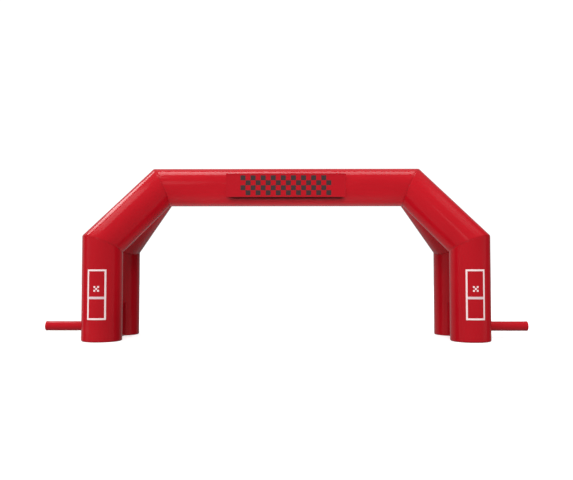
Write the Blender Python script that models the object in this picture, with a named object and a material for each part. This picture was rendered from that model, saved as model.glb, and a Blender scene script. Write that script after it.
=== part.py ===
"""Inflatable arch: four air-filled legs, four haunches and one header tube.

Metres, +Z up. The origin is on the floor, midway between the four feet. X runs
across the gateway, from the left legs to the right ones, and -Y is the front.
Every tube is round and has the same radius. Neighbouring tubes are cut on the
plane that halves the angle between them, so that their ends match.
"""

import math

import bmesh
import bpy
from mathutils import Matrix, Vector

# Driving dimensions. Lengths along the arch are given in tube radii, because
# a maker scales the whole pattern from the tube's size.
TUBE_RADIUS = 0.37
HEADER_HEIGHT = 7.986 * TUBE_RADIUS
HEADER_HALF_LENGTH = 6.673 * TUBE_RADIUS
LEG_X = 9.27 * TUBE_RADIUS
LEG_Y = 1.774 * TUBE_RADIUS
ELBOW_HEIGHT = 4.872 * TUBE_RADIUS
FOOT_ROUNDING = 0.08 * TUBE_RADIUS

BRIDGE_WIDTH = 1.0 * TUBE_RADIUS
BRIDGE_HEIGHT = 1.88 * TUBE_RADIUS
BRIDGE_ROUNDING = 0.15 * TUBE_RADIUS
BRIDGE_BULGE = 0.02 * TUBE_RADIUS

SLEEVE_RADIUS = 0.257 * TUBE_RADIUS
SLEEVE_HEIGHT = 0.606 * TUBE_RADIUS
SLEEVE_TIP_X = 12.75 * TUBE_RADIUS
SLEEVE_WALL = 0.003

BANNER_WIDTH = 6.21 * TUBE_RADIUS
BANNER_HEIGHT = 1.226 * TUBE_RADIUS
BANNER_MIDDLE = 7.973 * TUBE_RADIUS
SHEET_THICKNESS = 0.002

PANEL_BOTTOM = 1.104 * TUBE_RADIUS
PANEL_TOP = 3.578 * TUBE_RADIUS
PANEL_WIDTH = 0.92 * TUBE_RADIUS
BORDER_WIDTH = 0.088 * TUBE_RADIUS
BAR_BOTTOM = 2.122 * TUBE_RADIUS
BAR_TOP = 2.242 * TUBE_RADIUS

GAP = 0.0003
PANEL_GAP = 0.0005

TUBE_SIDES = 64
SLEEVE_SIDES = 32
ROUNDING_STEPS = 4
FRAME_STEPS = 8

SIDES = {"left": -1, "right": 1}
ENDS = {"front": -1, "rear": 1}
ARCH_EMPTY = "arch"


def clear_scene():
    for old in list(bpy.data.objects):
        bpy.data.objects.remove(old, do_unlink=True)


def make_material(name, color, roughness):
    material = bpy.data.materials.new(name)
    material.use_nodes = True
    shader = material.node_tree.nodes["Principled BSDF"]
    shader.inputs["Base Color"].default_value = (*color, 1.0)
    shader.inputs["Roughness"].default_value = roughness
    shader.inputs["Metallic"].default_value = 0.0
    return material


def add_arch_empty():
    """The point on the floor that every piece is parented to."""
    empty = bpy.data.objects.new(ARCH_EMPTY, None)
    bpy.context.scene.collection.objects.link(empty)


def add_object(name, bm, material, origin):
    """Turn a bmesh drawn in place into an object whose own origin is as given.

    Faces point outwards, and round sides are shaded smooth.
    """
    origin = Vector(origin)
    bmesh.ops.translate(bm, vec=-origin, verts=bm.verts)
    bmesh.ops.recalc_face_normals(bm, faces=bm.faces)
    mesh = bpy.data.meshes.new(name)
    bm.to_mesh(mesh)
    bm.free()
    mesh.materials.append(material)
    mesh.shade_smooth()
    mesh.set_sharp_from_angle(angle=math.radians(30))
    built = bpy.data.objects.new(name, mesh)
    built.location = origin
    built.parent = bpy.data.objects[ARCH_EMPTY]
    bpy.context.scene.collection.objects.link(built)
    return built


def turned(profile, sides, closed=False):
    """Rings of (radius, height) joined into a solid about the Z axis.

    An open profile gets a flat cap at each end. A closed one, whose last ring
    joins its first, is a pipe.
    """
    bm = bmesh.new()
    rings = []
    for radius, height in profile:
        place = Matrix.Translation((0, 0, height))
        circle = bmesh.ops.create_circle(bm, segments=sides, radius=radius, matrix=place)
        rings.append(circle["verts"])
    pairs = list(zip(rings, rings[1:]))
    if closed:
        pairs.append((rings[-1], rings[0]))
    for lower, upper in pairs:
        for i in range(sides):
            j = (i + 1) % sides
            bm.faces.new((lower[i], lower[j], upper[j], upper[i]))
    if not closed:
        bm.faces.new(rings[0])
        bm.faces.new(rings[-1])
    return bm


def round_tube(start, end, extra):
    """Straight tube from start to end, longer by extra past both of them."""
    along = end - start
    profile = [(TUBE_RADIUS, -extra), (TUBE_RADIUS, along.length + extra)]
    bm = turned(profile, TUBE_SIDES)
    turn = along.to_track_quat("Z", "Y").to_matrix().to_4x4()
    bmesh.ops.transform(bm, matrix=Matrix.Translation(start) @ turn, verts=bm.verts)
    return bm


def trim(bm, point, outward, gap=GAP / 2):
    """Cut away what lies beyond a plane, half a gap short of it, and cap it."""
    outward = outward.normalized()
    cut = bmesh.ops.bisect_plane(
        bm,
        geom=bm.verts[:] + bm.edges[:] + bm.faces[:],
        plane_co=point - outward * gap,
        plane_no=outward,
        clear_outer=True,
    )
    rim = [e for e in cut["geom_cut"] if isinstance(e, bmesh.types.BMEdge)]
    bmesh.ops.contextual_create(bm, geom=rim)


def header_node(side):
    return Vector((side * HEADER_HALF_LENGTH, 0, HEADER_HEIGHT))


def elbow_node(side, end):
    return Vector((side * LEG_X, end * LEG_Y, ELBOW_HEIGHT))


def haunch_direction(side, end):
    return (elbow_node(side, end) - header_node(side)).normalized()


def build_header(material):
    """Level tube whose ends are wedges, one face for each haunch."""
    bm = round_tube(header_node(-1), header_node(1), 2 * TUBE_RADIUS)
    for side in SIDES.values():
        inward = Vector((-side, 0, 0))
        for end in ENDS.values():
            trim(bm, header_node(side), haunch_direction(side, end) - inward)
    return add_object("header_tube", bm, material, (0, 0, HEADER_HEIGHT))


def build_haunch(side_name, end_name, material):
    """Sloping tube from the header's end to the top of one leg."""
    side, end = SIDES[side_name], ENDS[end_name]
    top, bottom = header_node(side), elbow_node(side, end)
    down = haunch_direction(side, end)
    bm = round_tube(top, bottom, 3 * TUBE_RADIUS)
    trim(bm, top, Vector((-side, 0, 0)) - down)
    trim(bm, top, Vector((0, -end, 0)))
    trim(bm, bottom, Vector((0, 0, -1)) + down)
    return add_object(f"haunch_{end_name}_{side_name}", bm, material, top)


def foot_profile():
    """Quarter circle from the flat of the foot up to the tube's side."""
    steps = [math.radians(90 * i / ROUNDING_STEPS) for i in range(ROUNDING_STEPS + 1)]
    return [
        (TUBE_RADIUS - FOOT_ROUNDING * (1 - math.sin(a)), FOOT_ROUNDING * (1 - math.cos(a)))
        for a in steps
    ]


def build_leg(side_name, end_name, material):
    """Upright tube with a flat, softly rounded foot and a mitred top."""
    side, end = SIDES[side_name], ENDS[end_name]
    profile = foot_profile() + [(TUBE_RADIUS, ELBOW_HEIGHT + 2 * TUBE_RADIUS)]
    bm = turned(profile, TUBE_SIDES)
    foot = Vector((side * LEG_X, end * LEG_Y, 0))
    bmesh.ops.translate(bm, vec=foot, verts=bm.verts)
    trim(bm, elbow_node(side, end), Vector((0, 0, 1)) - haunch_direction(side, end))
    return add_object(f"leg_{end_name}_{side_name}", bm, material, foot)


def bridge_half_width(height):
    """Half the bridge's width at a height: a flat-sided box, slightly full."""
    fullness = BRIDGE_BULGE * math.sin(math.pi * height / BRIDGE_HEIGHT)
    return BRIDGE_WIDTH / 2 - BRIDGE_BULGE + fullness


def bridge_profile():
    """One side of the section, floor to top, as (half width, height) pairs."""
    steps = [math.radians(90 * i / ROUNDING_STEPS) for i in range(ROUNDING_STEPS + 1)]
    lower = []
    for a in steps:
        height = FOOT_ROUNDING * (1 - math.cos(a))
        inset = FOOT_ROUNDING * (1 - math.sin(a))
        lower.append((bridge_half_width(height) - inset, height))
    straight = BRIDGE_HEIGHT - FOOT_ROUNDING - BRIDGE_ROUNDING
    middle = []
    for i in range(1, ROUNDING_STEPS):
        height = FOOT_ROUNDING + straight * i / ROUNDING_STEPS
        middle.append((bridge_half_width(height), height))
    upper = []
    for a in steps:
        height = BRIDGE_HEIGHT - BRIDGE_ROUNDING * (1 - math.sin(a))
        inset = BRIDGE_ROUNDING * (1 - math.cos(a))
        upper.append((bridge_half_width(height) - inset, height))
    return lower + middle + upper


def leg_cutter(side_name, end_name):
    """Guide that hollows a bridge's end to the round of the leg it meets."""
    bm = turned([(TUBE_RADIUS + GAP, -0.1), (TUBE_RADIUS + GAP, BRIDGE_HEIGHT + 0.1)], TUBE_SIDES)
    foot = Vector((SIDES[side_name] * LEG_X, ENDS[end_name] * LEG_Y, 0))
    bmesh.ops.translate(bm, vec=foot, verts=bm.verts)
    cutter = add_object(f"cutter_{end_name}_{side_name}", bm, None, foot)
    cutter.hide_render = True
    cutter.display_type = "WIRE"
    return cutter


def build_bridge(side_name, material):
    """Low chamber that joins a front leg to the rear leg behind it."""
    half = bridge_profile()
    outline = half + [(-width, height) for width, height in reversed(half)]
    bm = bmesh.new()
    middle_x = SIDES[side_name] * LEG_X
    section = [bm.verts.new((middle_x + x, -LEG_Y, z)) for x, z in outline]
    face = bm.faces.new(section)
    grown = bmesh.ops.extrude_face_region(bm, geom=[face])
    moved = [v for v in grown["geom"] if isinstance(v, bmesh.types.BMVert)]
    bmesh.ops.translate(bm, vec=(0, 2 * LEG_Y, 0), verts=moved)
    bridge = add_object(f"bridge_{side_name}", bm, material, (middle_x, 0, 0))
    for end_name in ENDS:
        cut = bridge.modifiers.new(f"round_{end_name}", "BOOLEAN")
        cut.operation = "DIFFERENCE"
        cut.solver = "EXACT"
        cut.object = leg_cutter(side_name, end_name)
    return bridge


def build_sleeve(side_name, material):
    """Open tube of cloth that a blower's nozzle goes into, level along X."""
    side = SIDES[side_name]
    root_x = LEG_X + bridge_half_width(SLEEVE_HEIGHT + SLEEVE_RADIUS) + GAP
    inner = SLEEVE_RADIUS - SLEEVE_WALL
    length = SLEEVE_TIP_X - root_x
    profile = [(SLEEVE_RADIUS, 0), (SLEEVE_RADIUS, length), (inner, length), (inner, 0)]
    bm = turned(profile, SLEEVE_SIDES, closed=True)
    turn = Vector((side, 0, 0)).to_track_quat("Z", "Y").to_matrix().to_4x4()
    root = Vector((side * root_x, 0, SLEEVE_HEIGHT))
    bmesh.ops.transform(bm, matrix=Matrix.Translation(root) @ turn, verts=bm.verts)
    return add_object(f"blower_sleeve_{side_name}", bm, material, root)


def build_banner(material):
    """Flat sheet that stands against the front of the header."""
    bm = bmesh.new()
    size = Matrix.Diagonal((BANNER_WIDTH, SHEET_THICKNESS, BANNER_HEIGHT, 1))
    bmesh.ops.create_cube(bm, size=1, matrix=size)
    middle = Vector((0, -TUBE_RADIUS - GAP - SHEET_THICKNESS / 2, BANNER_MIDDLE))
    bmesh.ops.translate(bm, vec=middle, verts=bm.verts)
    return add_object("header_banner", bm, material, middle)


def curved_strip(name, side, angles, heights, solid, material):
    """Thin sheet on the front of a leg, one cell for each angle and height step.

    Angles are measured from the leg's front-most line. solid says whether a
    cell, given by its column and row, is cloth or part of the window.
    """
    inner = TUBE_RADIUS + PANEL_GAP
    bm = bmesh.new()
    rows = []
    for z in heights:
        row = []
        for angle in angles:
            x = side * LEG_X + inner * math.sin(angle)
            y = -LEG_Y - inner * math.cos(angle)
            row.append(bm.verts.new((x, y, z)))
        rows.append(row)
    for r in range(len(heights) - 1):
        for c in range(len(angles) - 1):
            if solid(c, r):
                bm.faces.new((rows[r][c], rows[r][c + 1], rows[r + 1][c + 1], rows[r + 1][c]))
    loose = [v for v in bm.verts if not v.link_faces]
    bmesh.ops.delete(bm, geom=loose, context="VERTS")
    outer = bmesh.ops.extrude_face_region(bm, geom=bm.faces[:])
    grown = [v for v in outer["geom"] if isinstance(v, bmesh.types.BMVert)]
    axis = Vector((side * LEG_X, -LEG_Y, 0))
    for vert in grown:
        outward = (vert.co - axis) * Vector((1, 1, 0))
        vert.co += outward.normalized() * SHEET_THICKNESS
    return add_object(name, bm, material, axis)


def panel_angles():
    """Outer and inner edge of a border, as angles round the leg."""
    outer = math.asin(PANEL_WIDTH / 2 / TUBE_RADIUS)
    return outer, outer - BORDER_WIDTH / TUBE_RADIUS


def build_panel_border(side_name, material):
    """Rectangular white border sewn round the artwork area of a front leg."""
    outer, inner = panel_angles()
    across = [-inner + 2 * inner * i / FRAME_STEPS for i in range(FRAME_STEPS + 1)]
    angles = [-outer] + across + [outer]
    heights = [PANEL_BOTTOM, PANEL_BOTTOM + BORDER_WIDTH, PANEL_TOP - BORDER_WIDTH, PANEL_TOP]
    last_column = len(angles) - 2
    last_row = len(heights) - 2

    def is_border(column, row):
        return column in (0, last_column) or row in (0, last_row)

    side = SIDES[side_name]
    return curved_strip(f"panel_border_{side_name}", side, angles, heights, is_border, material)


def build_panel_bar(side_name, material):
    """Cross-bar that halves the bordered area."""
    inner = panel_angles()[1] - GAP / TUBE_RADIUS
    angles = [-inner + 2 * inner * i / FRAME_STEPS for i in range(FRAME_STEPS + 1)]
    heights = [BAR_BOTTOM, BAR_TOP]

    def is_bar(column, row):
        return True

    side = SIDES[side_name]
    return curved_strip(f"panel_bar_{side_name}", side, angles, heights, is_bar, material)


def main():
    clear_scene()
    add_arch_empty()
    red_skin = make_material("red_coated_cloth", (0.46, 0.013, 0.021), 0.35)
    red_sheet = make_material("red_banner_cloth", (0.44, 0.012, 0.02), 0.6)
    white_tape = make_material("white_tape", (0.9, 0.87, 0.88), 0.6)
    grey_tape = make_material("pale_grey_tape", (0.74, 0.74, 0.77), 0.6)

    build_header(red_skin)
    for side_name in SIDES:
        for end_name in ENDS:
            build_haunch(side_name, end_name, red_skin)
            build_leg(side_name, end_name, red_skin)
        build_bridge(side_name, red_skin)
        build_sleeve(side_name, red_skin)
        build_panel_border(side_name, white_tape)
        build_panel_bar(side_name, grey_tape)
    build_banner(red_sheet)


main()
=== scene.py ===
"""Inflatable arch, as it looks: coated cloth skins full of air, tapes, banner and studio.

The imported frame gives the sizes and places. Metres, +Z up, and -Y is the front.
Each skin is a surface worked out on a grid of two parameters.
"""

import math

import bpy
import numpy as np
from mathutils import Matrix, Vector


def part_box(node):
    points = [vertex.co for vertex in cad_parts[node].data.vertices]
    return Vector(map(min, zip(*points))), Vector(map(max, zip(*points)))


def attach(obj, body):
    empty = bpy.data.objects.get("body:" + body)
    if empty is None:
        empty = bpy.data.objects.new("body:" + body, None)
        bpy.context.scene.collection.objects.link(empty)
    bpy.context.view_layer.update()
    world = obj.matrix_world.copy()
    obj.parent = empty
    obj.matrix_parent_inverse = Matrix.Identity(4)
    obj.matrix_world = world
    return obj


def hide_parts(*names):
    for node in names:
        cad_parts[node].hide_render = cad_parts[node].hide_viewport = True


bl_info = {
    "name": "Inflatable Arch",
    "version": (1, 0, 0),
    "blender": (4, 5, 0),
    "location": "3D View > Sidebar > Arch",
    "description": "Builds the skins, tapes, banner and studio of an inflatable arch",
    "category": "Add Mesh",
}

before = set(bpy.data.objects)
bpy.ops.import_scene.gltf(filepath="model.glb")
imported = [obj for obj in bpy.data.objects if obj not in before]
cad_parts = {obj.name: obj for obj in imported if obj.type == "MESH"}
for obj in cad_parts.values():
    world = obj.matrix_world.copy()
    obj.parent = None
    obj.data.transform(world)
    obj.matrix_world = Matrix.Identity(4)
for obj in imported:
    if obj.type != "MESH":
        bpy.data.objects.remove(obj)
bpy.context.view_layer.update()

SIDES = {"left": -1, "right": 1}
ENDS = {"front": -1, "rear": 1}

# Places and sizes that the frame gives.
HEADER_LOW, HEADER_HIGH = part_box("header_tube")
HAUNCH_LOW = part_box("haunch_rear_right")[0]
LEG_LOW, LEG_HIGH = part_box("leg_rear_right")
BRIDGE_LOW, BRIDGE_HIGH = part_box("bridge_right")
SLEEVE_LOW, SLEEVE_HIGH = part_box("blower_sleeve_right")
BANNER_LOW, BANNER_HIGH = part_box("header_banner")
BORDER_LOW, BORDER_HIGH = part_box("panel_border_right")
BAR_LOW, BAR_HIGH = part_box("panel_bar_right")

TUBE_RADIUS = (HEADER_HIGH.y - HEADER_LOW.y) / 2
HEADER_HEIGHT = (HEADER_HIGH.z + HEADER_LOW.z) / 2
LEG_X = (LEG_LOW.x + LEG_HIGH.x) / 2
LEG_Y = (LEG_LOW.y + LEG_HIGH.y) / 2
# An elbow's mitre rises on the leg as far as it falls on the haunch.
ELBOW_HEIGHT = (LEG_HIGH.z + HAUNCH_LOW.z) / 2
# The other sizes of the pattern, in tube radii.
HEADER_HALF_LENGTH = 6.673 * TUBE_RADIUS
FOOT_ROUNDING = 0.08 * TUBE_RADIUS
BRIDGE_ROUNDING = 0.15 * TUBE_RADIUS
BRIDGE_BULGE = 0.02 * TUBE_RADIUS
BORDER_WIDTH = 0.088 * TUBE_RADIUS

PIECE_GAP = 0.0003
TUBE_COLUMNS = 240
SEAM_ROWS = 13
SEAM_REACH = 0.1
MIDDLE_SPACING = 0.035
FOOT_ROWS = 10


def length_setting(label, description, default):
    """A size in metres that a user can change."""
    return bpy.props.FloatProperty(
        name=label, description=description, default=default, min=0, unit="LENGTH", precision=4
    )


def colour_setting(label, description, default):
    """A linear colour that a user can change."""
    return bpy.props.FloatVectorProperty(
        name=label, description=description, default=default, size=3, min=0, max=1, subtype="COLOR"
    )


class ArchSizes(bpy.types.PropertyGroup):
    """Sizes that a user would change without cutting the pattern anew."""

    seam_depth: length_setting("Seam depth", "How far a seam draws the skin in", 0.003)
    seam_width: length_setting("Seam width", "How wide the hollow beside a seam is", 0.03)
    pucker: length_setting("Pucker", "Height of the puckers beside a seam", 0.0004)
    ripple: length_setting("Ripple", "Height of the long waves in a taut skin", 0.0002)
    stitch_pitch: length_setting("Stitch pitch", "From one stitch to the next", 0.011)
    sleeve_wall: length_setting("Sleeve wall", "Thickness of a blower sleeve's cloth", 0.0016)
    tape_thickness: length_setting("Tape thickness", "Thickness of the panel tapes", 0.0016)
    hem_width: length_setting("Hem width", "Width of the banner's hem", 0.022)
    motif_square: length_setting("Motif square", "Side of one square of a panel motif", 0.034)


class ArchColours(bpy.types.PropertyGroup):
    """Colours of the cloths, tapes, prints and threads."""

    skin: colour_setting("Skin", "Glossy coated cloth of the tubes", (0.5, 0.0055, 0.0132))
    # At 0.6 of its value, deep skin is also the painted shade beside the seams.
    skin_deep: colour_setting("Deep skin", "The same cloth where it is duller", (0.47, 0.0046, 0.012))
    banner: colour_setting("Banner", "Satin cloth of the banner", (0.465, 0.0055, 0.0135))
    printing: colour_setting("Print", "Dark chequer on the banner", (0.041, 0.025, 0.026))
    white_tape: colour_setting("White tape", "Borders and motifs of the panels", (1.0, 0.8, 0.8))
    grey_tape: colour_setting("Grey tape", "Cross-bars of the panels", (0.8, 0.6, 0.63))
    thread: colour_setting("Thread", "Thread of the red seams", (0.36, 0.006, 0.012))


# Arithmetic of surfaces


def unit(vector):
    vector = np.asarray(vector, float)
    return vector / np.linalg.norm(vector)


def wrapped_grid(rows, columns):
    """Quads of a grid whose last column joins its first, and each corner's column unwrapped."""
    r, c = np.meshgrid(np.arange(rows - 1), np.arange(columns), indexing="ij")
    right = (c + 1) % columns
    below, above = r * columns, (r + 1) * columns
    quads = np.stack([below + c, below + right, above + right, above + c], -1)
    corner_columns = np.stack([c, c + 1, c + 1, c], -1)
    return quads.reshape(-1, 4), corner_columns.reshape(-1, 4)


def fan(centre, rim, outward_along_rows):
    """Triangles from a centre vertex to a closed rim."""
    after = np.roll(rim, -1)
    first, second = (rim, after) if outward_along_rows else (after, rim)
    return np.stack([np.full(len(rim), centre), first, second], -1)


def new_mesh(name, points, face_groups, uv_groups=None, slots=None):
    """A mesh from a points array and arrays of faces, each with its corners' UVs in metres."""
    faces = [face for group in face_groups for face in group.tolist()]
    mesh = bpy.data.meshes.new(name)
    mesh.from_pydata(points.tolist(), [], faces)
    if uv_groups is not None:
        corners = np.concatenate([uv.reshape(-1, 2) for uv in uv_groups])
        layer = mesh.uv_layers.new(name="cloth")
        layer.uv.foreach_set("vector", corners.astype(np.float32).ravel())
    if slots is not None:
        mesh.polygons.foreach_set("material_index", slots.astype(np.int32))
    mesh.update()
    return mesh


def new_piece(name, mesh, materials, replaced=(), sharp=40):
    """An object at the origin that rides on the arch and stands for CAD nodes."""
    piece = bpy.data.objects.new(name, mesh)
    bpy.context.scene.collection.objects.link(piece)
    for material in materials:
        mesh.materials.append(material)
    mesh.shade_smooth()
    mesh.set_sharp_from_angle(angle=math.radians(sharp))
    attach(piece, "root")
    if replaced:
        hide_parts(*replaced)
    return piece


# Tube skins


class Tube:
    """A round skin about an axis, cut by planes at its two ends.

    point(u, s) = start + along * s + (across cos u + up sin u) * radius(u, s),
    where u is the angle round the tube and s the distance along it.
    """

    def __init__(self, start, end, across, limits, seed, foot=False):
        sizes = bpy.context.scene.arch_sizes
        self.start = np.asarray(start, float)
        self.along = unit(np.asarray(end, float) - self.start)
        across = np.asarray(across, float)
        self.across = unit(across - self.along * (across @ self.along))
        self.up = np.cross(self.along, self.across)
        self.limits = [(np.asarray(p, float), unit(n)) for p, n in limits]
        self.seam_depth = sizes.seam_depth
        self.seam_width = sizes.seam_width
        self.pucker = sizes.pucker
        self.ripple = sizes.ripple
        self.phases = np.random.default_rng(seed).uniform(0, 2 * np.pi, 8)
        self.foot = foot

    def radial(self, u):
        return np.cos(u)[..., None] * self.across + np.sin(u)[..., None] * self.up

    def span(self, u):
        """Lowest and highest s at each angle, and how squarely its plane meets the axis.

        A point of the rim is on the plane where normal . (start + along s + rim) = normal . point.
        """
        rim = self.radial(u) * (TUBE_RADIUS - self.seam_depth)
        low, high = np.full(u.shape, -np.inf), np.full(u.shape, np.inf)
        low_slope, high_slope = np.ones(u.shape), np.ones(u.shape)
        for point, normal in self.limits:
            slope = normal @ self.along
            inner = point - normal * PIECE_GAP / 2
            s = ((inner - self.start) @ normal - rim @ normal) / slope
            if slope > 0:
                high_slope = np.where(s < high, slope, high_slope)
                high = np.minimum(high, s)
            else:
                low_slope = np.where(s > low, -slope, low_slope)
                low = np.maximum(low, s)
        if self.foot:
            low = np.zeros(u.shape)
        return low, high, low_slope, high_slope

    def radius(self, u, s):
        """Tube radius, less a hollow (1 - d / width)^2 at a seam, plus fading puckers and ripples."""
        low, high, low_slope, high_slope = self.span(u)
        radius = np.full(np.broadcast(u, s).shape, TUBE_RADIUS)
        edges = [((high - s) * high_slope, self.phases[:3])]
        if not self.foot:
            edges.append(((s - low) * low_slope, self.phases[3:6]))
        nearest = np.full(radius.shape, np.inf)
        for distance, phases in edges:
            distance = np.maximum(distance, 0)
            nearest = np.minimum(nearest, distance)
            hollow = np.clip(1 - distance / self.seam_width, 0, 1) ** 2
            radius -= self.seam_depth * hollow
            waves = np.sin(19 * u + phases[0]) + np.sin(31 * u + phases[1])
            waves += 0.7 * np.sin(43 * u + phases[2])
            fade = distance / 0.05 * np.exp(1 - distance / 0.05)
            radius += self.pucker * 0.4 * waves * fade
        away = np.clip(nearest / 0.25, 0, 1)
        long_wave = np.sin(2 * u + 3.1 * s + self.phases[6]) * np.sin(5.3 * s - 3 * u + self.phases[7])
        radius += self.ripple * long_wave * away
        if self.foot:
            height = np.clip(s, 0, FOOT_ROUNDING)
            inset = FOOT_ROUNDING - np.sqrt(FOOT_ROUNDING**2 - (FOOT_ROUNDING - height) ** 2)
            radius -= inset
        return radius

    def points(self, u, s):
        return self.start + s[..., None] * self.along + self.radial(u) * self.radius(u, s)[..., None]

    def seam_path(self, from_low_end, inset):
        """Closed line round the skin, at a distance beside its seam."""
        u = np.linspace(0, 2 * np.pi, 1440, endpoint=False)
        low, high, low_slope, high_slope = self.span(u)
        s = low + inset / low_slope if from_low_end else high - inset / high_slope
        return self.points(u, s), self.radial(u)

    def mesh(self, name):
        """Rows close together beside the seams, and even ones between them."""
        u = np.arange(TUBE_COLUMNS) * 2 * np.pi / TUBE_COLUMNS
        low, high, low_slope, high_slope = self.span(u)
        near = SEAM_REACH * (np.arange(SEAM_ROWS) / (SEAM_ROWS - 1)) ** 1.7
        upper = high[None, :] - near[::-1, None]
        if self.foot:
            turn = np.linspace(0, np.pi / 2, FOOT_ROWS)
            lower = np.repeat((FOOT_ROUNDING * (1 - np.cos(turn)))[:, None], len(u), 1)
        else:
            lower = low[None, :] + near[:, None]
        count = int((upper[0] - lower[-1]).max() / MIDDLE_SPACING)
        share = (np.arange(1, count) / count)[:, None]
        middle = lower[-1] + (upper[0] - lower[-1]) * share
        s = np.concatenate([lower, middle, upper])
        grid = self.points(np.broadcast_to(u, s.shape), s)
        rows, columns = s.shape
        quads, corner_columns = wrapped_grid(rows, columns)
        ends = [self.start, self.start + self.along * ((self.limits[-1][0] - self.start) @ self.along)]
        if not self.foot:
            ends[0] = self.limits[0][0]
        points = np.concatenate([grid.reshape(-1, 3), np.array(ends)])
        rim = np.arange(columns)
        caps = [fan(rows * columns, rim, False), fan(rows * columns + 1, rim + (rows - 1) * columns, True)]
        angle = corner_columns * 2 * np.pi / columns
        uv = np.stack([angle * TUBE_RADIUS, s.reshape(-1)[quads]], -1)
        cap_uvs = [np.stack([points[cap] @ self.across, points[cap] @ self.up], -1) for cap in caps]
        mesh = new_mesh(name, points, [quads, *caps], [uv, *cap_uvs])
        nearest = (high - s) * high_slope
        if not self.foot:
            nearest = np.minimum(nearest, (s - low) * low_slope)
        # Seam weight, 1 on a seam and fading over about a centimetre. The skin's material uses it to paint
        # shade along each seam's hollow.
        seam = np.exp(-np.maximum(nearest, 0) / 0.012).reshape(-1)
        attribute = mesh.attributes.new("seam", "FLOAT", "POINT")
        attribute.data.foreach_set("value", np.append(seam, [1, 1]).astype(np.float32))
        return mesh


def header_node(side):
    """Where the header's axis meets the axes of its two haunches."""
    return np.array([side * HEADER_HALF_LENGTH, 0, HEADER_HEIGHT])


def elbow_node(side, end):
    """Where a haunch's axis meets its leg's."""
    return np.array([side * LEG_X, end * LEG_Y, ELBOW_HEIGHT])


def haunch_direction(side, end):
    return unit(elbow_node(side, end) - header_node(side))


def header_tube():
    """The header, cut at each end by two planes, one for each haunch."""
    limits = []
    for side in SIDES.values():
        for end in ENDS.values():
            limits.append((header_node(side), haunch_direction(side, end) + np.array([side, 0, 0])))
    return Tube(header_node(-1), header_node(1), (0, 0, 1), limits, 11)


def haunch_tube(side, end):
    """A haunch's first angle is on the ridge where its two upper cuts meet."""
    down = haunch_direction(side, end)
    mitre = np.array([-side, 0, 0]) - down
    divide = np.array([0, -end, 0])
    ridge = np.cross(mitre, divide)
    top, bottom = header_node(side), elbow_node(side, end)
    limits = [(top, mitre), (top, divide), (bottom, down - np.array([0, 0, 1]))]
    return Tube(top, bottom, ridge, limits, 23 + 2 * side + end)


def leg_tube(side, end):
    """A leg with a rounded foot, cut at its top by the elbow's mitre."""
    top = elbow_node(side, end)
    foot = top * np.array([1, 1, 0])
    limits = [(top, np.array([0, 0, 1]) - haunch_direction(side, end))]
    return Tube(foot, top, (0, 1, 0), limits, 41 + 2 * side + end, foot=True)


# Materials


def node(tree, kind, inputs=None, **settings):
    """A shader node with its settings, its input values, and links where a value is a socket."""
    made = tree.nodes.new(kind)
    for key, value in settings.items():
        setattr(made, key, value)
    for key, value in (inputs or {}).items():
        if isinstance(value, bpy.types.NodeSocket):
            tree.links.new(value, made.inputs[key])
        else:
            made.inputs[key].default_value = value
    return made


def maths(tree, operation, *values):
    return node(tree, "ShaderNodeMath", dict(enumerate(values)), operation=operation).outputs[0]


def noise(tree, vector, scale, detail=2.0, roughness=0.5):
    inputs = {"Vector": vector, "Scale": scale, "Detail": detail, "Roughness": roughness}
    return node(tree, "ShaderNodeTexNoise", inputs).outputs["Fac"]


def stretched(tree, value, start, end, low, high, smooth=False):
    """A value from start to end, turned into one from low to high, any of them a socket."""
    inputs = {"Value": value, "From Min": start, "From Max": end, "To Min": low, "To Max": high}
    kind = "SMOOTHSTEP" if smooth else "LINEAR"
    return node(tree, "ShaderNodeMapRange", inputs, interpolation_type=kind).outputs[0]


def mapped(tree, value, low, high):
    """A noise, which stays mostly between 0.3 and 0.7, stretched to run from low to high."""
    return stretched(tree, value, 0.3, 0.7, low, high)


def blended(tree, factor, first, second):
    """One colour turning into another with a factor."""
    mix = node(tree, "ShaderNodeMix", data_type="RGBA")
    for socket, value in ((mix.inputs[0], factor), (mix.inputs[6], first), (mix.inputs[7], second)):
        if isinstance(value, bpy.types.NodeSocket):
            tree.links.new(value, socket)
        else:
            socket.default_value = (*value, 1)
    return mix.outputs[2]


def weave(tree, uv, pitch):
    """Height of a plain weave: threads over and under, sin(x) sin(y), on the cloth's own UVs."""
    axes = node(tree, "ShaderNodeSeparateXYZ", {"Vector": uv})
    warp = maths(tree, "SINE", maths(tree, "MULTIPLY", axes.outputs[0], 2 * math.pi / pitch))
    weft = maths(tree, "SINE", maths(tree, "MULTIPLY", axes.outputs[1], 2 * math.pi / pitch))
    return maths(tree, "MULTIPLY", warp, weft)


def start_material(name, roughness, **constants):
    """An empty node tree with a Principled shader whose constants sit on its own sockets."""
    material = bpy.data.materials.new(name)
    material.use_nodes = True
    tree = material.node_tree
    tree.nodes.clear()
    shader = node(tree, "ShaderNodeBsdfPrincipled", {"Roughness": roughness})
    for key, value in constants.items():
        shader.inputs[key.replace("_", " ")].default_value = value
    output = node(tree, "ShaderNodeOutputMaterial")
    tree.links.new(shader.outputs[0], output.inputs[0])
    return material, tree, shader


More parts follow.
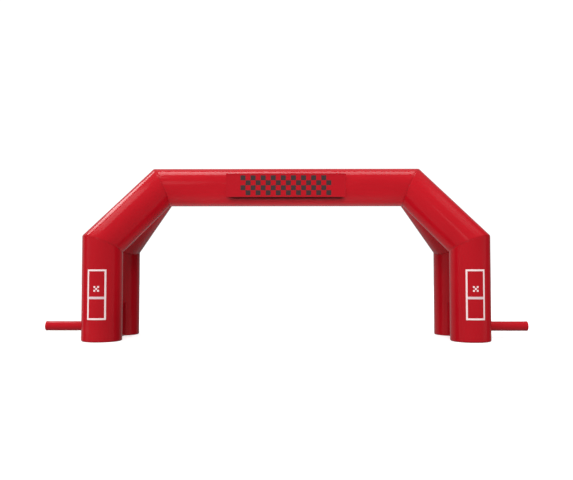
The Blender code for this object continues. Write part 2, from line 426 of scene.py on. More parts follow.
def cloth_material(name, base, dull, gloss, pitch, weave_depth, slack=0.0, seam=False, **constants):
    """Woven cloth: colour and gloss that drift, a weave at its real pitch, and soft slack; with seam,
    painted shade darkens it beside the seams.
    """
    material, tree, shader = start_material(name, gloss[0], **constants)
    uv = node(tree, "ShaderNodeUVMap", uv_map="cloth").outputs[0]
    place = node(tree, "ShaderNodeTexCoord").outputs["Object"]
    drift = mapped(tree, noise(tree, place, 1.6, 3.0), 0, 1)
    colour = blended(tree, drift, base, dull)
    # Painted shade: beside a seam the colour darkens toward 0.6 of the dull colour, standing in for the
    # shade in the seam's hollow.
    if seam:
        near = node(tree, "ShaderNodeAttribute", attribute_name="seam").outputs["Fac"]
        colour = blended(tree, maths(tree, "MULTIPLY", near, 0.2), colour, [0.6 * c for c in dull])
    tree.links.new(colour, shader.inputs["Base Color"])
    tree.links.new(mapped(tree, noise(tree, place, 7.0, 4.0), *gloss), shader.inputs["Roughness"])
    inputs = {"Height": weave(tree, uv, pitch), "Strength": 0.5, "Distance": weave_depth}
    normal = node(tree, "ShaderNodeBump", inputs).outputs[0]
    if slack:
        height = noise(tree, place, 5.0, 2.0)
        inputs = {"Height": height, "Strength": 1.0, "Distance": slack, "Normal": normal}
        normal = node(tree, "ShaderNodeBump", inputs).outputs[0]
    tree.links.new(normal, shader.inputs["Normal"])
    return material


def plain_thread(name, colour):
    """Twisted thread: thin ridges across it and a drifting shade."""
    material, tree, shader = start_material(name, 0.55)
    place = node(tree, "ShaderNodeTexCoord").outputs["Object"]
    shade = mapped(tree, noise(tree, place, 60.0), 0, 1)
    tree.links.new(blended(tree, shade, colour, [0.75 * c for c in colour]), shader.inputs["Base Color"])
    twist = noise(tree, place, 900.0, 1.0)
    bump = node(tree, "ShaderNodeBump", {"Height": twist, "Strength": 0.4, "Distance": 0.0003})
    tree.links.new(bump.outputs[0], shader.inputs["Normal"])
    return material


def finish_of(name):
    """The named finish, made once. None has a slot's name, which the frame's own material has."""
    made = bpy.data.materials.get(name)
    if made:
        return made
    colours = bpy.context.scene.arch_colours
    if name == "glossy_skin":
        # The skins' finish paints shade beside their seams.
        return cloth_material(
            name, colours.skin, colours.skin_deep, (0.12, 0.16), 0.0016, 0.000008,
            slack=0.0001, seam=True, IOR=1.22,
        )
    if name == "banner_cloth":
        return cloth_material(
            name, colours.banner, colours.banner, (0.5, 0.6), 0.0012, 0.00008, slack=0.0004, IOR=1.2
        )
    if name == "banner_print":
        return cloth_material(
            name, colours.printing, colours.printing, (0.5, 0.62), 0.0012, 0.00006, slack=0.0004, IOR=1.3
        )
    tapes = {"white_webbing": colours.white_tape, "grey_webbing": colours.grey_tape}
    if name in tapes:
        return cloth_material(name, tapes[name], tapes[name], (0.55, 0.7), 0.0018, 0.0003)
    threads = {"red_thread": colours.thread, "white_thread": colours.white_tape}
    return plain_thread(name, threads[name])


# Stitches


def spaced(path, pitch):
    """Places an even pitch apart on a line, as fractions of its points, by its running length."""
    steps = np.linalg.norm(np.diff(path, axis=0), axis=1)
    run = np.concatenate([[0], np.cumsum(steps)])
    count = max(2, int(run[-1] / pitch))
    return np.interp((np.arange(count) + 0.5) * run[-1] / count, run, np.arange(len(run)))


def stitch_row(path, normals, length=0.0075, width=0.0016, height=0.0008):
    """One pillow for each stitch of a closed line: four low corners and four drawn-in ones above.

    corner = centre + tangent * a + side * b + normal * c, for eight fixed (a, b, c).
    """
    path = np.concatenate([path, path[:1]])
    normals = np.concatenate([normals, normals[:1]])
    at = spaced(path, bpy.context.scene.arch_sizes.stitch_pitch)
    ticks = np.arange(len(path))
    centres = np.stack([np.interp(at, ticks, path[:, k]) for k in range(3)], -1)
    upward = np.stack([np.interp(at, ticks, normals[:, k]) for k in range(3)], -1)
    slope = np.gradient(path, axis=0)
    tangents = np.stack([np.interp(at, ticks, slope[:, k]) for k in range(3)], -1)
    upward /= np.linalg.norm(upward, axis=1)[:, None]
    tangents -= upward * (tangents * upward).sum(1)[:, None]
    tangents /= np.linalg.norm(tangents, axis=1)[:, None]
    sideways = np.cross(upward, tangents)
    ring = np.array([(-1, -1), (1, -1), (1, 1), (-1, 1)]) / 2
    low = np.column_stack([ring * (length, width), np.full(4, -height / 2)])
    high = np.column_stack([ring * (0.7 * length, 0.5 * width), np.full(4, height)])
    corners = np.concatenate([low, high])
    basis = np.stack([tangents, sideways, upward], 1)
    return (centres[:, None, :] + np.einsum("ck,nkj->ncj", corners, basis)).reshape(-1, 3)


STITCH_FACES = np.array([
    (3, 2, 1, 0), (4, 5, 6, 7), (0, 1, 5, 4), (1, 2, 6, 5), (2, 3, 7, 6), (3, 0, 4, 7)
])


def stitches(name, rows, finish):
    """All the stitches of some rows as one mesh."""
    points = np.concatenate(rows)
    starts = np.arange(0, len(points), 8)
    faces = (STITCH_FACES[None] + starts[:, None, None]).reshape(-1, 4)
    return new_piece(name, new_mesh(name, points, [faces]), [finish_of(finish)], sharp=60)


# Sheets


def sheet_faces(rows, columns):
    """Quads of two equal grids, the second behind the first, and of the rim between them."""
    r, c = np.meshgrid(np.arange(rows - 1), np.arange(columns - 1), indexing="ij")
    low = r * columns + c
    top = np.stack([low, low + 1, low + columns + 1, low + columns], -1).reshape(-1, 4)
    back = top[:, ::-1] + rows * columns
    bottom_edge = np.arange(columns)
    right_edge = np.arange(rows) * columns + columns - 1
    top_edge = np.arange(columns)[::-1] + (rows - 1) * columns
    left_edge = np.arange(rows)[::-1] * columns
    loop = np.concatenate([bottom_edge[:-1], right_edge[:-1], top_edge[:-1], left_edge[:-1]])
    after = np.roll(loop, -1)
    behind = rows * columns
    rim = np.stack([after, loop, loop + behind, after + behind], -1)
    return top, back, rim


def sheet_mesh(name, front, back, flat, slots=None):
    """A closed thin sheet from two grids of points and the flat place of each of them."""
    rows, columns = front.shape[:2]
    top, behind, rim = sheet_faces(rows, columns)
    points = np.concatenate([front.reshape(-1, 3), back.reshape(-1, 3)])
    places = np.concatenate([flat.reshape(-1, 2)] * 2)
    groups = [top, behind, rim]
    if slots is not None:
        slots = np.concatenate([slots, np.zeros(len(behind) + len(rim))])
    return new_mesh(name, points, groups, [places[group] for group in groups], slots)


def on_leg(side, angle, height, lift):
    """Point on the front of a leg: an angle from its front-most line, and a lift off its skin."""
    reach = TUBE_RADIUS + lift
    x = side * LEG_X + reach * np.sin(angle)
    y = -LEG_Y - reach * np.cos(angle)
    return np.stack(np.broadcast_arrays(x, y, height), -1)


def square_loop(count):
    """Points of a square from -1 to 1, run round from its lower left corner, corners included."""
    t = np.linspace(-1, 1, count, endpoint=False)
    one = np.ones(count)
    return np.concatenate([
        np.stack([t, -one], -1), np.stack([one, t], -1), np.stack([-t, one], -1), np.stack([-one, -t], -1)
    ])


PANEL_HALF_ANGLE = math.asin((BORDER_HIGH.x - BORDER_LOW.x) / 2 / (TUBE_RADIUS + 0.0025))
PANEL_INNER_ANGLE = PANEL_HALF_ANGLE - BORDER_WIDTH / TUBE_RADIUS
# The tapes' undersides stand this far off the skin.
TAPE_LIFT = 0.0004


def build_border(side_name):
    """Tape sewn round in a rectangle with mitred corners.

    It runs between an outer and an inner rectangle, and its section is a flat
    oblong with round selvedges: height = thickness * (1 - across^8)^(1/2).
    """
    side = SIDES[side_name]
    sizes = bpy.context.scene.arch_sizes
    loop = square_loop(48)
    middle = (BORDER_LOW.z + BORDER_HIGH.z) / 2
    outer = np.array([PANEL_HALF_ANGLE, (BORDER_HIGH.z - BORDER_LOW.z) / 2])
    inner = np.array([PANEL_INNER_ANGLE, outer[1] - BORDER_WIDTH])
    across = np.concatenate([np.sin(np.linspace(-np.pi / 2, np.pi / 2, 15)), np.linspace(1, -1, 5)[1:-1]])
    upper = np.arange(len(across)) < 15
    share = (across[:, None, None] + 1) / 2
    flat = inner * loop * (1 - share) + outer * loop * share
    selvedge = np.sqrt(1 - np.clip(np.abs(across), 0, 1) ** 8)
    lift = np.where(upper, sizes.tape_thickness * selvedge, 0) + TAPE_LIFT
    points = on_leg(side, flat[..., 0], middle + flat[..., 1], lift[:, None])
    rows, columns = points.shape[:2]
    grid = np.concatenate([points, points[:1]]).reshape(-1, 3)
    quads, _ = wrapped_grid(rows + 1, columns)
    quads = quads[:, ::-1]
    metres = np.concatenate([flat, flat[:1]]).reshape(-1, 2) * (TUBE_RADIUS, 1)
    name = f"panel_tape_border_{side_name}"
    mesh = new_mesh(name, grid[: rows * columns], [quads % (rows * columns)], [metres[quads]])
    piece = new_piece(name, mesh, [finish_of("white_webbing")], [f"panel_border_{side_name}"])


def curved_patch(name, side, angles, heights, lift, thickness, finish, replaced):
    """Thin patch wrapped on a leg, its edges rounded over as in the borders."""
    a = np.linspace(-1, 1, 41)
    profile = np.clip(1 - np.abs(a) ** 24, 0, 1)
    height = thickness * np.sqrt(profile[:, None] * profile[None, :])
    angle = (angles[0] + angles[1]) / 2 + a * (angles[1] - angles[0]) / 2
    level = (heights[0] + heights[1]) / 2 + a * (heights[1] - heights[0]) / 2
    angle, level = np.meshgrid(angle, level)
    front = on_leg(side, angle, level, lift + 0.2 * thickness + 0.8 * height)
    back = on_leg(side, angle, level, lift)
    flat = np.stack([angle * TUBE_RADIUS, level], -1)
    return new_piece(name, sheet_mesh(name, front, back, flat), [finish_of(finish)], replaced)


def build_bar(side_name):
    """Grey cross-bar inside the border."""
    inner = PANEL_INNER_ANGLE - PIECE_GAP / TUBE_RADIUS
    heights = (BAR_LOW.z, BAR_HIGH.z)
    thickness = bpy.context.scene.arch_sizes.tape_thickness
    piece = curved_patch(
        f"panel_tape_bar_{side_name}", SIDES[side_name], (-inner, inner), heights, TAPE_LIFT, thickness,
        "grey_webbing", [f"panel_bar_{side_name}"],
    )


MOTIF_HEIGHT = 2.626 * TUBE_RADIUS
MOTIF_FACE = 0.0012


def build_motif(side_name):
    """Three by three white chequer print above the bar: the corner squares and the middle one."""
    square = bpy.context.scene.arch_sizes.motif_square
    side = SIDES[side_name]
    places = [(-1, -1), (1, -1), (0, 0), (-1, 1), (1, 1)]
    meshes = []
    a = np.linspace(-0.49, 0.49, 9)
    across, up = np.meshgrid(a, a)
    for column, row in places:
        angle = (column + across) * square / TUBE_RADIUS
        level = MOTIF_HEIGHT + (row + up) * square
        front = on_leg(side, angle, level, MOTIF_FACE)
        back = on_leg(side, angle, level, TAPE_LIFT)
        flat = np.stack([angle * TUBE_RADIUS, level], -1)
        meshes.append((front, back, flat))
    rows, columns = across.shape
    top, behind, rim = sheet_faces(rows, columns)
    one = np.concatenate([top, behind, rim])
    step = 2 * rows * columns
    faces = np.concatenate([one + step * i for i in range(len(places))])
    points = np.concatenate([np.concatenate([f.reshape(-1, 3), b.reshape(-1, 3)]) for f, b, _ in meshes])
    flats = np.concatenate([np.concatenate([p.reshape(-1, 2)] * 2) for _, _, p in meshes])
    name = f"panel_motif_{side_name}"
    mesh = new_mesh(name, points, [faces], [flats[faces]])
    piece = new_piece(name, mesh, [finish_of("white_webbing")])


# Operators


def add_skin(name, mesh, node_name):
    """An air-filled skin that stands for one CAD node."""
    piece = new_piece(name, mesh, [finish_of("glossy_skin")], [node_name])


def add_corner_skins(kind, tube):
    """Four like skins, one at each corner of the arch, from a function of side and end."""
    for side_name, side in SIDES.items():
        for end_name, end in ENDS.items():
            name = f"{kind}_skin_{end_name}_{side_name}"
            add_skin(name, tube(side, end).mesh(name), f"{kind}_{end_name}_{side_name}")


class BuildHeader(bpy.types.Operator):
    """Build the header's skin"""

    bl_idname = "arch.header"
    bl_label = "Header"

    def execute(self, context):
        add_skin("header_skin", header_tube().mesh("header_skin"), "header_tube")
        return {"FINISHED"}


class BuildHaunches(bpy.types.Operator):
    """Build the four sloping tubes' skins"""

    bl_idname = "arch.haunches"
    bl_label = "Haunches"

    def execute(self, context):
        add_corner_skins("haunch", haunch_tube)
        return {"FINISHED"}


class BuildLegs(bpy.types.Operator):
    """Build the four upright tubes' skins"""

    bl_idname = "arch.legs"
    bl_label = "Legs"

    def execute(self, context):
        add_corner_skins("leg", leg_tube)
        return {"FINISHED"}


BRIDGE_CROWN = 0.004
# The share of a bridge's half length where its rows stand close, beside a leg.
BRIDGE_NEAR = 0.12


def bridge_section():
    """One turn round a bridge's section, as (x, z): flat foot, full sides, rounded shoulders.

    Half the width at a height h is width / 2 - bulge + bulge sin(pi h / height).
    """
    width = BRIDGE_HIGH.x - BRIDGE_LOW.x
    tall = BRIDGE_HIGH.z

    def half_width(z):
        return width / 2 - BRIDGE_BULGE + BRIDGE_BULGE * np.sin(np.pi * z / tall)

    turn = np.linspace(0, np.pi / 2, 9)
    foot_z = FOOT_ROUNDING * (1 - np.cos(turn))
    foot_x = half_width(foot_z) - FOOT_ROUNDING * (1 - np.sin(turn))
    side_z = np.linspace(FOOT_ROUNDING, tall - BRIDGE_ROUNDING, 20)[1:-1]
    top_z = tall - BRIDGE_ROUNDING * (1 - np.sin(turn))
    top_x = half_width(top_z) - BRIDGE_ROUNDING * (1 - np.cos(turn))
    flat_foot = np.linspace(0, foot_x[0], 8)[1:-1]
    flat_top = np.linspace(top_x[-1], 0, 8)[1:-1]
    x = np.concatenate([flat_foot, foot_x, half_width(side_z), top_x, flat_top])
    crown = BRIDGE_CROWN * (1 - (flat_top / top_x[-1]) ** 2)
    z = np.concatenate([np.zeros(6), foot_z, side_z, top_z, np.full(6, tall) + crown])
    right = np.stack([x, z], -1)
    middle_top = np.array([[0, tall + BRIDGE_CROWN]])
    left = right[::-1] * (-1, 1)
    middle_foot = np.array([[0, 0]])
    return np.concatenate([right, middle_top, left, middle_foot])


def build_bridge(side_name):
    """Low chamber between two legs: its section carried along Y, with saddle ends on the legs.

    y = share * (LEG_Y - sqrt(radius^2 - x^2)), share from -1 to 1. Beside a leg
    the section is drawn in, and at each end it shrinks on the saddle to a point.
    """
    sizes = bpy.context.scene.arch_sizes
    section = bridge_section()
    tall = BRIDGE_HIGH.z
    half = (BRIDGE_HIGH.x - BRIDGE_LOW.x) / 2

    def ring(share, shrink):
        drawn = sizes.seam_depth * np.clip(1 - (1 - abs(share)) * LEG_Y / sizes.seam_width, 0, 1) ** 2
        x = section[:, 0] * (1 - drawn / half) * shrink
        z = section[:, 1] * (1 - drawn / tall)
        z = tall / 2 + (z - tall / 2) * shrink
        reach = LEG_Y - np.sqrt(TUBE_RADIUS**2 - x**2) - PIECE_GAP
        return np.stack([SIDES[side_name] * LEG_X + x, share * reach, z], -1)

    near = 1 - (np.arange(10) / 9) ** 1.7 * BRIDGE_NEAR
    shares = np.concatenate([-near, np.linspace(-0.88, 0.88, 25)[1:-1], near[::-1]])
    shrinks = np.linspace(0.12, 0.94, 7)
    rings = [ring(-1, k) for k in shrinks]
    rings += [ring(share, 1) for share in shares]
    rings += [ring(1, k) for k in shrinks[::-1]]
    grid = np.array(rings)
    rows, columns = grid.shape[:2]
    quads, corner_columns = wrapped_grid(rows, columns)
    tips = np.array([ring(end, 0)[0] for end in (-1, 1)])
    points = np.concatenate([grid.reshape(-1, 3), tips])
    rim = np.arange(columns)
    caps = [fan(rows * columns, rim, False), fan(rows * columns + 1, rim + (rows - 1) * columns, True)]
    girth = np.concatenate([[0], np.cumsum(np.linalg.norm(np.diff(section, axis=0), axis=1))])
    girth = np.append(girth, girth[-1] + np.linalg.norm(section[0] - section[-1]))
    uv = np.stack([girth[corner_columns], points[quads][..., 1]], -1)
    faces = [group[:, ::-1] for group in (quads, *caps)]
    uvs = [uv[:, ::-1], *[points[cap][..., (0, 2)] for cap in faces[1:]]]
    name = f"bridge_skin_{side_name}"
    add_skin(name, new_mesh(name, points, faces, uvs), f"bridge_{side_name}")


class BuildBridges(bpy.types.Operator):
    """Build the low chambers that join the front and rear legs"""

    bl_idname = "arch.bridges"
    bl_label = "Bridges"

    def execute(self, context):
        for side_name in SIDES:
            build_bridge(side_name)
        return {"FINISHED"}


SLEEVE_RADIUS = (SLEEVE_HIGH.y - SLEEVE_LOW.y) / 2
SLEEVE_HEIGHT = (SLEEVE_HIGH.z + SLEEVE_LOW.z) / 2
SLEEVE_LENGTH = SLEEVE_HIGH.x - SLEEVE_LOW.x
SLEEVE_COLUMNS = 72
SLEEVE_HEM = 0.03
# The height of the step on to the hem, and also of the cloth's slack.
SLEEVE_STEP = 0.0012
SLEEVE_FLARE = 0.004


def build_sleeve(side_name):
    """Thin open tube of cloth, level along X, with a doubled hem at its mouth.

    radius(u, s) = sleeve radius - slack * (1 + sin(3 u + 5 s) sin(4 s - 2 u + 1)) / 2,
    with a step of one more cloth over the hem, and a flare at the root.
    """
    side = SIDES[side_name]
    wall = bpy.context.scene.arch_sizes.sleeve_wall
    columns = SLEEVE_COLUMNS
    u = np.arange(columns) * 2 * np.pi / columns
    hem = SLEEVE_HEM
    s = np.concatenate([
        np.linspace(0, 0.03, 7), np.linspace(0.03, SLEEVE_LENGTH - hem - 0.004, 60)[1:-1],
        SLEEVE_LENGTH - hem + np.array([-0.004, -0.002, 0, 0.003, 0.012, 0.02, 0.026, 0.029, 0.03]),
    ])
    angle, along = np.meshgrid(u, s)
    waves = np.sin(3 * angle + 5 * along) * np.sin(4 * along - 2 * angle + 1)
    slack = SLEEVE_STEP * (1 + waves) / 2
    outer = SLEEVE_RADIUS - SLEEVE_STEP - slack * np.clip(along / 0.1, 0, 1)
    outer += SLEEVE_STEP * np.clip((along - (SLEEVE_LENGTH - hem - 0.004)) / 0.004, 0, 1)
    outer += SLEEVE_FLARE * np.clip(1 - along / 0.02, 0, 1) ** 2
    inner = outer - wall
    radius = np.concatenate([outer, inner[::-1]])
    along = np.concatenate([along, along[::-1]])
    angle = np.concatenate([angle, angle])
    x = side * (SLEEVE_LOW.x + along)
    grid = np.stack([x, radius * np.cos(angle), SLEEVE_HEIGHT + radius * np.sin(angle)], -1)
    rows = len(grid)
    quads, corner_columns = wrapped_grid(rows + 1, columns)
    run = along.reshape(-1)[quads % (rows * columns)]
    uv = np.stack([corner_columns * 2 * np.pi / columns * SLEEVE_RADIUS, run], -1)
    quads = quads % (rows * columns)
    if side < 0:
        quads, uv = quads[:, ::-1], uv[:, ::-1]
    name = f"sleeve_cloth_{side_name}"
    mesh = new_mesh(name, grid.reshape(-1, 3), [quads], [uv])
    piece = new_piece(name, mesh, [finish_of("glossy_skin")], [f"blower_sleeve_{side_name}"])


class BuildSleeves(bpy.types.Operator):
    """Build the two open sleeves that take the blowers"""

    bl_idname = "arch.sleeves"
    bl_label = "Blower sleeves"

    def execute(self, context):
        for side_name in SIDES:
            build_sleeve(side_name)
        return {"FINISHED"}


BANNER_THICKNESS = 0.0014
HEM_STEP = 0.0012
CHEQUER_COLUMNS = 18
CHEQUER_ROWS = 4
CHEQUER_WIDTH = 0.76
CHEQUER_HEIGHT = 0.85


def ruled(low, high, hem, print_share, squares):
    """Grid lines across the banner: fine at the hems, and one on each edge of a print square."""
    half = (high - low) / 2
    middle = (high + low) / 2
    print_half = half * print_share
    edge = np.array([0, 0.001, 0.003, 0.5 * hem, hem - 0.002, hem, hem + 0.002])
    squares_at = np.linspace(-print_half, print_half, 2 * squares + 1)
    margin = np.linspace(half - edge[-1], print_half, 4)[1:-1]
    outer = np.concatenate([half - edge, margin])
    return middle + np.concatenate([-outer, squares_at, outer[::-1]])


class BuildBanner(bpy.types.Operator):
    """Build the header's banner, hemmed all round and printed with a dark chequer.

    y = rear - cloth - hem step near the edge - |0.0012 sin(4.1 x + 1) sin(7 z) fade|, and
    fade is a half wave from the lower edge to the upper one.
    """

    bl_idname = "arch.banner"
    bl_label = "Banner"

    def execute(self, context):
        hem = context.scene.arch_sizes.hem_width
        xs = ruled(BANNER_LOW.x, BANNER_HIGH.x, hem, CHEQUER_WIDTH, CHEQUER_COLUMNS)
        zs = ruled(BANNER_LOW.z, BANNER_HIGH.z, hem, CHEQUER_HEIGHT, CHEQUER_ROWS)
        x, z = np.meshgrid(xs, zs)
        from_edge = np.minimum.reduce([x - xs[0], xs[-1] - x, z - zs[0], zs[-1] - z])
        doubled = HEM_STEP * np.clip((hem - from_edge) / 0.002, 0, 1)
        worn = -0.0004 * np.clip(1 - from_edge / 0.001, 0, 1)
        fade = np.sin(np.pi * (z - zs[0]) / (zs[-1] - zs[0]))
        wave = 0.0012 * np.sin(4.1 * x + 1) * np.sin(7 * z) * fade
        rear = BANNER_HIGH.y + 0 * x
        face = rear - BANNER_THICKNESS - doubled - worn - np.abs(wave)
        front = np.stack([x, face, z], -1)
        back = np.stack([x, rear, z], -1)
        middle_x = (xs[1:] + xs[:-1]) / 2
        middle_z = (zs[1:] + zs[:-1]) / 2
        half_x = CHEQUER_WIDTH * (xs[-1] - xs[0]) / 2
        half_z = CHEQUER_HEIGHT * (zs[-1] - zs[0]) / 2
        column = (middle_x + half_x) / (2 * half_x) * CHEQUER_COLUMNS
        row = (middle_z - (zs[0] + zs[-1]) / 2 + half_z) / (2 * half_z) * CHEQUER_ROWS
        column, row = np.meshgrid(column, row)
        printed = (column > 0) & (column < CHEQUER_COLUMNS) & (row > 0) & (row < CHEQUER_ROWS)
        dark = printed & ((np.floor(column) + np.floor(row)) % 2 == 1)
        mesh = sheet_mesh("banner_cloth", front, back, np.stack([x, z], -1), dark.astype(int).reshape(-1))
        finishes = [finish_of("banner_cloth"), finish_of("banner_print")]
        piece = new_piece("banner_cloth", mesh, finishes, ["header_banner"])
        return {"FINISHED"}


class BuildPanels(bpy.types.Operator):
    """Build the tapes and motifs on the two front legs"""

    bl_idname = "arch.panels"
    bl_label = "Panels"

    def execute(self, context):
        for side_name in SIDES:
            build_border(side_name)
            build_bar(side_name)
            build_motif(side_name)
        return {"FINISHED"}


SEAM_INSET = 0.014


def oblong(low_x, high_x, low_z, high_z, count):
    """Corners-included closed line round an oblong, as (a, b) pairs."""
    loop = square_loop(count)
    middle = np.array([low_x + high_x, low_z + high_z]) / 2
    return middle + loop * ((high_x - low_x) / 2, (high_z - low_z) / 2)


class BuildStitches(bpy.types.Operator):
    """Build the thread beside the seams, and along the banner's hem and the tapes"""

    bl_idname = "arch.stitches"
    bl_label = "Stitches"

    def execute(self, context):
        header = header_tube()
        rows = [stitch_row(*header.seam_path(low, SEAM_INSET)) for low in (True, False)]
        for side in SIDES.values():
            for end in ENDS.values():
                haunch = haunch_tube(side, end)
                rows += [stitch_row(*haunch.seam_path(low, SEAM_INSET)) for low in (True, False)]
                rows.append(stitch_row(*leg_tube(side, end).seam_path(False, SEAM_INSET)))
        stitches("seam_stitches", rows, "red_thread")

        inset = 0.8 * context.scene.arch_sizes.hem_width
        low, high = BANNER_LOW, BANNER_HIGH
        hem = oblong(low.x + inset, high.x - inset, low.z + inset, high.z - inset, 200)
        face = high.y - BANNER_THICKNESS - HEM_STEP
        path = np.stack([hem[:, 0], np.full(len(hem), face), hem[:, 1]], -1)
        normals = np.tile([0.0, -1.0, 0.0], (len(path), 1))
        stitches("banner_stitches", [stitch_row(path, normals)], "red_thread")

        tape_rows = []
        lift = context.scene.arch_sizes.tape_thickness + TAPE_LIFT
        for side in SIDES.values():
            for inset in (0.004, BORDER_WIDTH - 0.004):
                half = PANEL_HALF_ANGLE - inset / TUBE_RADIUS
                line = oblong(-half, half, BORDER_LOW.z + inset, BORDER_HIGH.z - inset, 120)
                angle, level = line[:, 0], line[:, 1]
                path = on_leg(side, angle, level, lift - 0.0002)
                outward = on_leg(side, angle, level, 1.0) - on_leg(side, angle, level, 0.0)
                tape_rows.append(stitch_row(path, outward, width=0.0012, height=0.0005))
        stitches("tape_stitches", tape_rows, "white_thread")
        return {"FINISHED"}


# Stage

CAMERA_DISTANCE = 33.48 * TUBE_RADIUS
CAMERA_HEIGHT = 3.262 * TUBE_RADIUS
CAMERA_ASIDE = 0.3 * TUBE_RADIUS
CAMERA_PITCH = 0.04
CAMERA_TURN = 0.00826
CAMERA_RISE = 0.0188
CAMERA_LENS = 39.445

# Each lamp: its name, place, the point that it faces, its size, how widely it
# spreads its light, and the radiance that lights dull surfaces and the one
# that gloss shows.
LAMPS = (
    ("overhead_left", (-1.9, -0.23, 8.4), (-1.9, -0.23, 0), (3.8, 2.6), 180, 2.0, 7.0),
    ("overhead_right", (1.9, -0.1, 8.4), (1.9, -0.1, 0), (3.8, 2.4), 180, 1.0, 5.0),
    ("left_shoulder", (-5.6, -2.6, 8.6), (-2.9, -0.4, 2.5), (4.4, 1.8), 180, 1.0, 3.5),
    ("left_rear", (-7.9, 1.9, 8.3), (-2.9, -0.4, 2.5), (3.4, 2.6), 180, 0.0, 7.5),
    ("right_shoulder", (5.6, -2.6, 8.6), (2.9, -0.4, 2.5), (4.4, 1.8), 180, 1.5, 1.0),
    ("left_side", (-9.5, -2.6, 0.7), (-3.4, -0.6, 1.5), (2.5, 3.0), 180, 3.5, 0.0),
    ("right_side", (9.5, -2.6, 0.7), (3.4, -0.6, 1.5), (2.5, 3.0), 180, 2.0, 0.0),
    ("key", (-7.5, -21.1, 11.5), (2.9, -0.4, 2.5), (5.0, 8.0), 180, 0.0, 2.0),
    ("front", (0, -30.0, 14.0), (0, 0, 1.6), (7.0, 7.0), 180, 18.0, 0.0),
    ("bounce", (0, -1.6, 0.02), (0, -1.6, 5.0), (5.6, 3.0), 80, 1.0, 0.0),
)
# A lamp for gloss stands this far in front of its twin for dull surfaces, which would hide it.
SHEEN_OFFSET = 0.05
# The black card below the banner: how far in its ends stand, and how much shorter, farther
# back and lower its lower edge is.
FLAG_INSET = 0.015
FLAG_TAPER = 0.05
FLAG_LEAN = 0.09
FLAG_DROP = 0.1
FLOOR_HALF = 70
FLOOR_LEVEL = -0.001
FLOOR_GLOW = 0.6
BACKDROP_RADIANCE = 1.1
# Radiance that gloss shows of the studio, and radiance that lights dull
# surfaces: left and right walls in front, left and right walls behind, the
# dark ends, the ceiling and the floor.
GLOSS_STUDIO = (0.7, 0.7, 0.55, 0.3, 0.1, 0.6, 0.85)
DULL_STUDIO = (1.0, 0.4, 0.4, 0.0, 0.0, 1.6, 0.1)


def softbox(name, place, target, size, spread, radiance, dull):
    """Oblong lamp that faces a point, seen by dull surfaces only or by gloss only.

    Its power is its radiance times pi times its area.
    """
    lamp = bpy.data.lights.new(name, "AREA")
    lamp.shape = "RECTANGLE"
    lamp.size, lamp.size_y = size
    lamp.spread = math.radians(spread)
    lamp.energy = radiance * math.pi * size[0] * size[1]
    made = bpy.data.objects.new(name, lamp)
    toward = Vector(target) - Vector(place)
    made.location = Vector(place) + toward.normalized() * (0 if dull else SHEEN_OFFSET)
    made.rotation_euler = toward.to_track_quat("-Z", "Y").to_euler()
    made.visible_camera = False
    made.visible_diffuse = dull
    made.visible_glossy = not dull
    bpy.context.scene.collection.objects.link(made)


def studio_light(tree, view, levels):
    """Radiance by direction: walls that turn from front to back, dark ends, ceiling and floor."""
    front_left, front_right, back_left, back_right, ends, ceiling, floor = levels
    x, y, z = node(tree, "ShaderNodeSeparateXYZ", {"Vector": view}).outputs[:3]
    squares = [maths(tree, "MULTIPLY", axis, axis) for axis in (x, y)]
    level = maths(tree, "SQRT", maths(tree, "ADD", *squares))
    depth = maths(tree, "DIVIDE", y, maths(tree, "MAXIMUM", level, 0.001))
    end_middle = stretched(tree, x, -0.3, 0.3, 0.09, 0.28)
    end_half = stretched(tree, x, -0.3, 0.3, 0.16, 0.28)
    end_edge = maths(tree, "ADD", end_half, 0.12)
    aside = maths(tree, "ABSOLUTE", maths(tree, "SUBTRACT", depth, end_middle))
    left = stretched(tree, depth, -0.3, 0.3, front_left, back_left)
    right = stretched(tree, depth, -0.3, 0.3, front_right, back_right)
    walls = stretched(tree, x, -0.6, 0.6, left, right)
    walls = stretched(tree, aside, end_half, end_edge, ends, walls, smooth=True)
    walls = stretched(tree, z, -0.55, -0.4, floor, walls, smooth=True)
    strength = stretched(tree, z, 0.7, 0.85, walls, ceiling, smooth=True)
    return node(tree, "ShaderNodeBackground", {"Color": (1, 1, 1, 1), "Strength": strength}).outputs[0]


def make_world():
    """White behind the arch, and for light a studio's walls, dark ends, ceiling and floor."""
    world = bpy.data.worlds.new("studio")
    bpy.context.scene.world = world
    world.use_nodes = True
    tree = world.node_tree
    tree.nodes.clear()
    view = node(tree, "ShaderNodeTexCoord").outputs["Generated"]
    rays = node(tree, "ShaderNodeLightPath").outputs
    gloss = studio_light(tree, view, GLOSS_STUDIO)
    dull = studio_light(tree, view, DULL_STUDIO)
    white = {"Color": (1, 1, 1, 1), "Strength": BACKDROP_RADIANCE}
    seen = node(tree, "ShaderNodeBackground", white).outputs[0]
    lit = node(tree, "ShaderNodeMixShader", {0: rays["Is Glossy Ray"], 1: dull, 2: gloss}).outputs[0]
    mix = node(tree, "ShaderNodeMixShader", {0: rays["Is Camera Ray"], 1: lit, 2: seen})
    output = node(tree, "ShaderNodeOutputWorld")
    tree.links.new(mix.outputs[0], output.inputs[0])


def stage_card(name, corners, material):
    """Flat four-cornered card, such as the floor, that isn't part of the arch."""
    card = bpy.data.objects.new(name, new_mesh(name, np.array(corners), [np.array([(0, 1, 2, 3)])]))
    bpy.context.scene.collection.objects.link(card)
    card.data.materials.append(material)
    return card


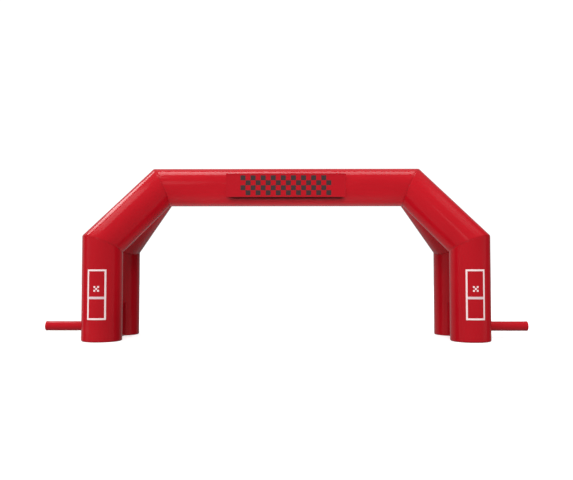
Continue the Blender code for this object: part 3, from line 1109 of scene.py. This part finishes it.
class BuildStage(bpy.types.Operator):
    """Build the floor, lights, world and camera"""

    bl_idname = "arch.stage"
    bl_label = "Stage"

    def execute(self, context):
        scene = context.scene
        scene.view_settings.view_transform = "Standard"
        make_world()
        pale = start_material(
            "pale_floor", 0.9, Base_Color=(0.8, 0.8, 0.8, 1),
            Emission_Color=(1, 1, 1, 1), Emission_Strength=FLOOR_GLOW,
        )[0]
        signs = [(-1, -1), (1, -1), (1, 1), (-1, 1)]
        corners = [(FLOOR_HALF * x, FLOOR_HALF * y, FLOOR_LEVEL) for x, y in signs]
        floor = stage_card("floor", corners, pale)
        floor.visible_diffuse = False
        floor.visible_glossy = False
        floor.visible_shadow = False
        # A black card keeps light from the skin just below the banner, which darkens it.
        black = start_material("black_card", 0.9, Base_Color=(0.01, 0.01, 0.01, 1))[0]
        top = (BANNER_HIGH.x - FLAG_INSET, BANNER_LOW.y, BANNER_LOW.z)
        low = (top[0] - FLAG_TAPER, top[1] + FLAG_LEAN, top[2] - FLAG_DROP)
        corners = [(-top[0], *top[1:]), top, low, (-low[0], *low[1:])]
        card = stage_card("flag", corners, black)
        card.visible_camera = False
        card.visible_glossy = False
        for name, place, target, size, spread, dull, gloss in LAMPS:
            if dull:
                softbox(f"{name}_softbox", place, target, size, spread, dull, True)
            if gloss:
                softbox(f"{name}_sheen", place, target, size, spread, gloss, False)

        camera = bpy.data.objects.new("camera", bpy.data.cameras.new("camera"))
        camera.data.sensor_width = 36
        camera.data.lens = CAMERA_LENS
        camera.data.shift_y = CAMERA_RISE
        camera.location = (CAMERA_ASIDE, -CAMERA_DISTANCE, CAMERA_HEIGHT)
        camera.rotation_euler = (math.pi / 2 + CAMERA_PITCH, 0, CAMERA_TURN)
        scene.collection.objects.link(camera)
        scene.camera = camera
        return {"FINISHED"}


OPERATORS = (
    BuildHeader, BuildHaunches, BuildLegs, BuildBridges, BuildSleeves,
    BuildBanner, BuildPanels, BuildStitches, BuildStage,
)


class ArchPanel(bpy.types.Panel):
    """Lists the arch's pieces in the sidebar."""

    bl_idname = "ARCH_PT_pieces"
    bl_label = "Inflatable arch"
    bl_space_type = "VIEW_3D"
    bl_region_type = "UI"
    bl_category = "Arch"

    def draw(self, context):
        layout = self.layout
        for operator in OPERATORS:
            layout.operator(operator.bl_idname)
        for settings in (context.scene.arch_sizes, context.scene.arch_colours):
            for key in settings.bl_rna.properties.keys():
                if key not in ("rna_type", "name"):
                    layout.prop(settings, key)


CLASSES = (ArchSizes, ArchColours, *OPERATORS, ArchPanel)


def register():
    for cls in CLASSES:
        bpy.utils.register_class(cls)
    bpy.types.Scene.arch_sizes = bpy.props.PointerProperty(type=ArchSizes)
    bpy.types.Scene.arch_colours = bpy.props.PointerProperty(type=ArchColours)


def unregister():
    del bpy.types.Scene.arch_colours
    del bpy.types.Scene.arch_sizes
    for cls in reversed(CLASSES):
        bpy.utils.unregister_class(cls)


def main():
    register()
    for operator in OPERATORS:
        group, action = operator.bl_idname.split(".")
        getattr(getattr(bpy.ops, group), action)()


if __name__ == "__main__":
    main()
